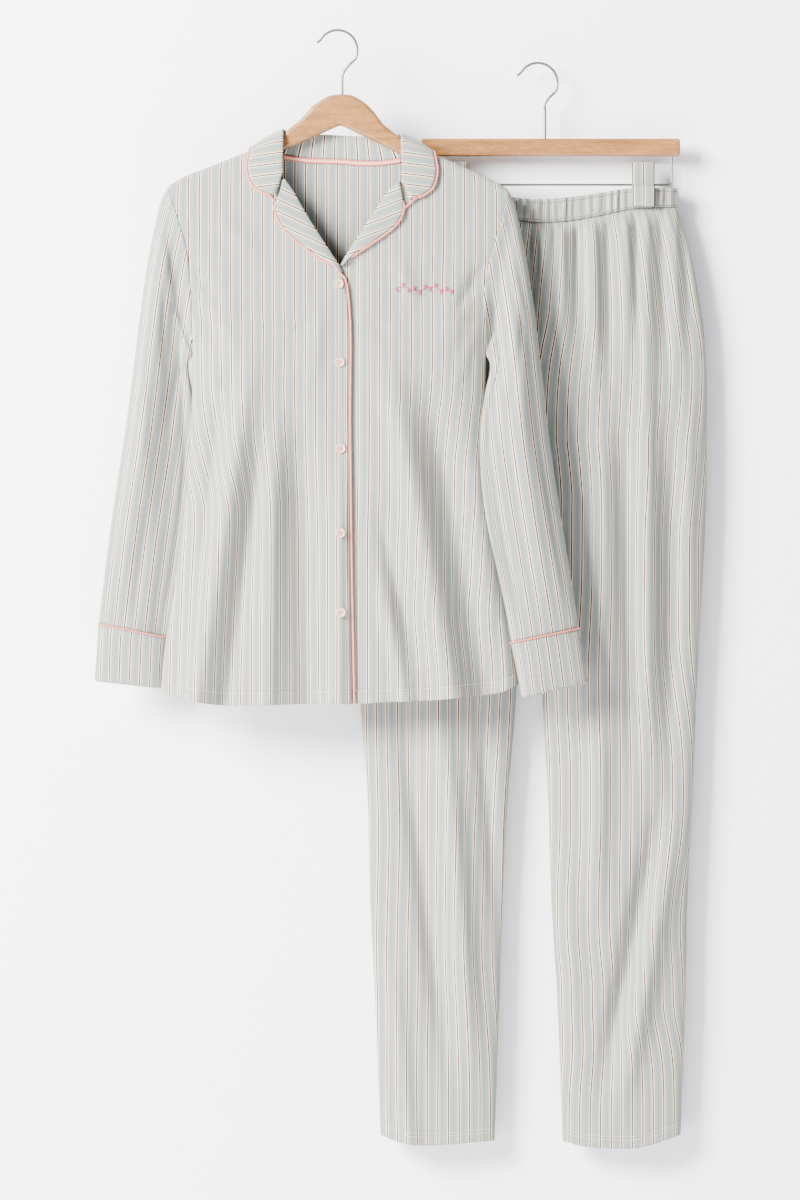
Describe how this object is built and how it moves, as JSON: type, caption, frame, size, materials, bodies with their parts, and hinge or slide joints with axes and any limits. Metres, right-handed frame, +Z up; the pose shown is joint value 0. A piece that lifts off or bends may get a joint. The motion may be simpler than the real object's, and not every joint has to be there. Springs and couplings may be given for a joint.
{
  "type": "pyjama set on hangers",
  "caption": "Striped long-sleeved pyjama shirt on a wooden hanger, with matching trousers behind it hung by loops from a bar hanger; open neck, sleeves, hem and legs.",
  "frame": {"origin": "inside top of the shirt hanger's hook, where a rail bears on it", "axes": "+X the viewer's right, +Y back towards the wall behind the set, +Z up"},
  "size_m": [0.7065, 0.1004, 1.2906],
  "materials": {
    "striped_cloth": "brushed fine rib jersey, striped",
    "piping": "pink corded piping and tape",
    "button": "cream with a soft sheen",
    "wood": "light beech, satin",
    "steel": "plain drawn wire"
  },
  "bodies": {
    "root": {"shirt_front_right": "striped_cloth", "shirt_front_left": "striped_cloth", "shirt_back": "striped_cloth", "sleeve_right": "striped_cloth", "sleeve_left": "striped_cloth", "cuff_right": "striped_cloth", "cuff_left": "striped_cloth", "collar": "striped_cloth", "lapel_right": "striped_cloth", "lapel_left": "striped_cloth", "trouser_leg_right": "striped_cloth", "trouser_leg_left": "striped_cloth", "waistband": "striped_cloth", "hanging_loop_right": "striped_cloth", "hanging_loop_left": "striped_cloth", "neck_tape": "piping", "piping_edge": "piping", "piping_cuff_right": "piping", "piping_cuff_left": "piping", "button_1": "button", "button_2": "button", "button_3": "button", "button_4": "button", "button_5": "button", "shirt_hanger_wood": "wood", "trouser_hanger_bar": "wood", "shirt_hanger_hook": "steel", "trouser_hanger_hook": "steel", "trouser_hanger_wire": "steel"}
  },
  "joints": []
}
